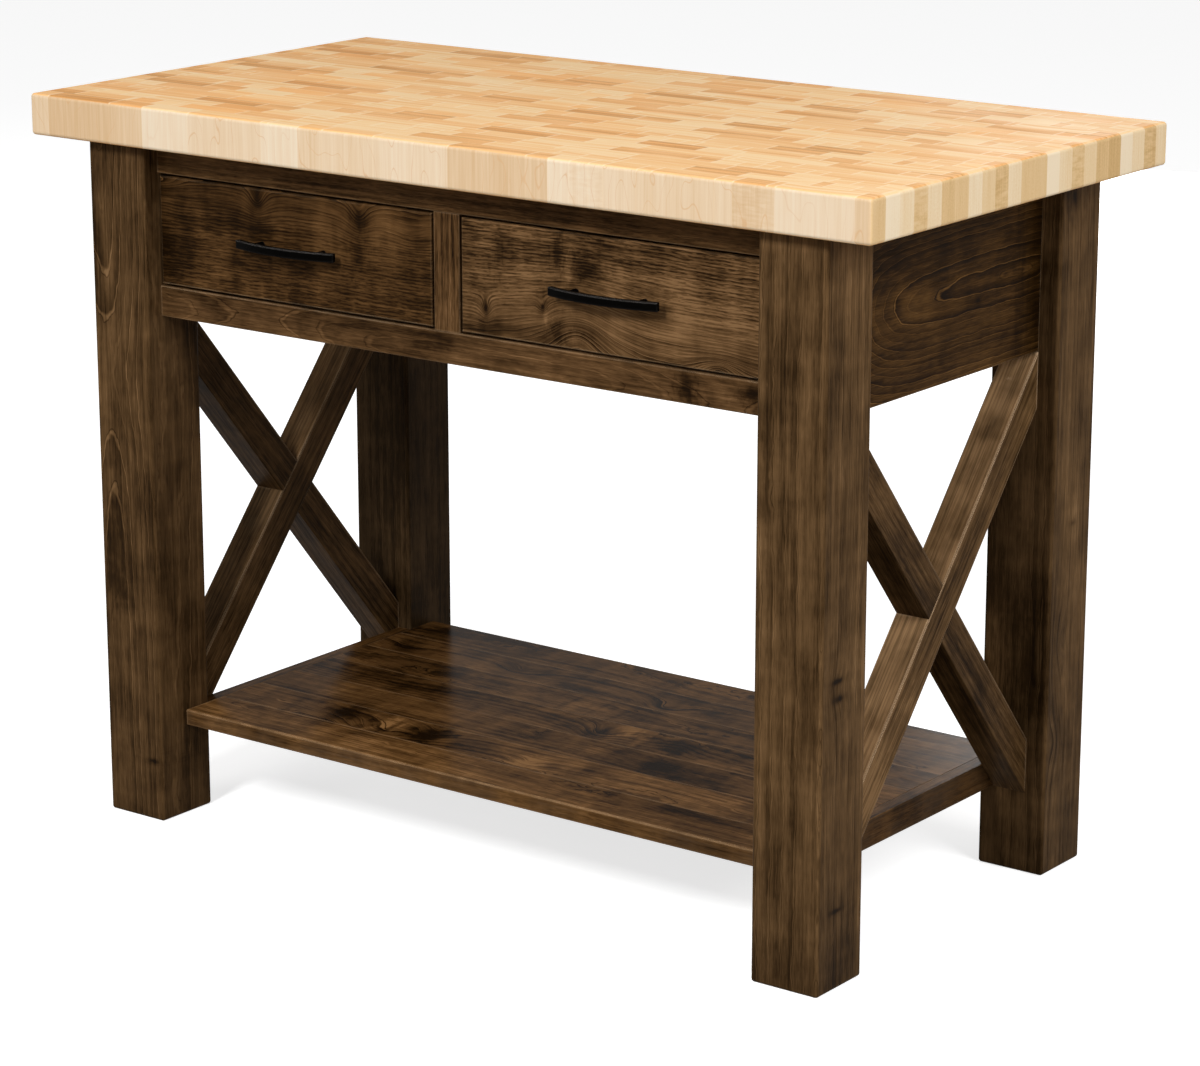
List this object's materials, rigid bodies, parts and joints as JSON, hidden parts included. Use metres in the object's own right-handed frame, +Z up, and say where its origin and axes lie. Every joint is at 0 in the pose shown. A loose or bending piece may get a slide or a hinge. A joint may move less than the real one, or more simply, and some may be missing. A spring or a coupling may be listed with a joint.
{
  "type": "kitchen island",
  "caption": "Free-standing kitchen island with a thick block worktop, square posts, inset drawers with bar pulls, crossed braces at the ends and a low plank shelf.",
  "frame": {"origin": "on the floor, under the middle of the worktop", "axes": "+X along the front to the right, +Y from front to back, +Z up"},
  "size_m": [1.219, 0.635, 0.914],
  "materials": {
    "maple_block": "oiled end-grain maple",
    "stained_wood": "dark stain, satin",
    "drawer_box_wood": "clear satin",
    "black_metal": "satin black",
    "zinc_steel": "zinc plated"
  },
  "bodies": {
    "frame": {"back_apron": "stained_wood", "back_left_leg": "stained_wood", "back_right_leg": "stained_wood", "brace_dowels": "drawer_box_wood", "butcher_block_top": "maple_block", "centre_slide_bearer": "drawer_box_wood", "front_bottom_rail": "stained_wood", "front_centre_stile": "stained_wood", "front_left_leg": "stained_wood", "front_right_leg": "stained_wood", "front_top_rail": "stained_wood", "left_apron": "stained_wood", "left_brace_falling": "stained_wood", "left_brace_rising": "stained_wood", "left_shelf_end_strip": "stained_wood", "left_slide_bearer": "drawer_box_wood", "left_slide_cabinet_channels": "zinc_steel", "left_top_cleat": "drawer_box_wood", "right_apron": "stained_wood", "right_brace_falling": "stained_wood", "right_brace_rising": "stained_wood", "right_shelf_end_strip": "stained_wood", "right_slide_bearer": "drawer_box_wood", "right_slide_cabinet_channels": "zinc_steel", "right_top_cleat": "drawer_box_wood", "shelf_board_1": "stained_wood", "shelf_board_2": "stained_wood", "shelf_board_3": "stained_wood", "shelf_board_4": "stained_wood", "shelf_board_5": "stained_wood", "shelf_board_6": "stained_wood", "shelf_board_7": "stained_wood", "shelf_dowels": "drawer_box_wood", "top_screws": "zinc_steel"},
    "left_drawer": {"left_drawer_back": "drawer_box_wood", "left_drawer_bottom": "drawer_box_wood", "left_drawer_front": "stained_wood", "left_drawer_inner_side": "drawer_box_wood", "left_drawer_outer_side": "drawer_box_wood", "left_pull": "black_metal", "left_pull_screws": "zinc_steel", "left_slide_drawer_channels": "zinc_steel"},
    "right_drawer": {"right_drawer_back": "drawer_box_wood", "right_drawer_bottom": "drawer_box_wood", "right_drawer_front": "stained_wood", "right_drawer_inner_side": "drawer_box_wood", "right_drawer_outer_side": "drawer_box_wood", "right_pull": "black_metal", "right_pull_screws": "zinc_steel", "right_slide_drawer_channels": "zinc_steel"},
    "left_middle_slides": {"left_slide_middle_channels": "zinc_steel"},
    "right_middle_slides": {"right_slide_middle_channels": "zinc_steel"}
  },
  "joints": [
    {"name": "left_drawer_slide", "type": "slide", "parent": "frame", "child": "left_drawer", "axis": [0, -1, 0], "range_m": [0, 0.4]},
    {"name": "left_middle_slide", "type": "slide", "parent": "frame", "child": "left_middle_slides", "axis": [0, -1, 0], "range_m": [0, 0.2]},
    {"name": "right_drawer_slide", "type": "slide", "parent": "frame", "child": "right_drawer", "axis": [0, -1, 0], "range_m": [0, 0.4]},
    {"name": "right_middle_slide", "type": "slide", "parent": "frame", "child": "right_middle_slides", "axis": [0, -1, 0], "range_m": [0, 0.2]}
  ],
  "couplings": [
    {"joint": "left_middle_slide", "follows": "left_drawer_slide", "ratio": 0.5},
    {"joint": "right_middle_slide", "follows": "right_drawer_slide", "ratio": 0.5}
  ]
}
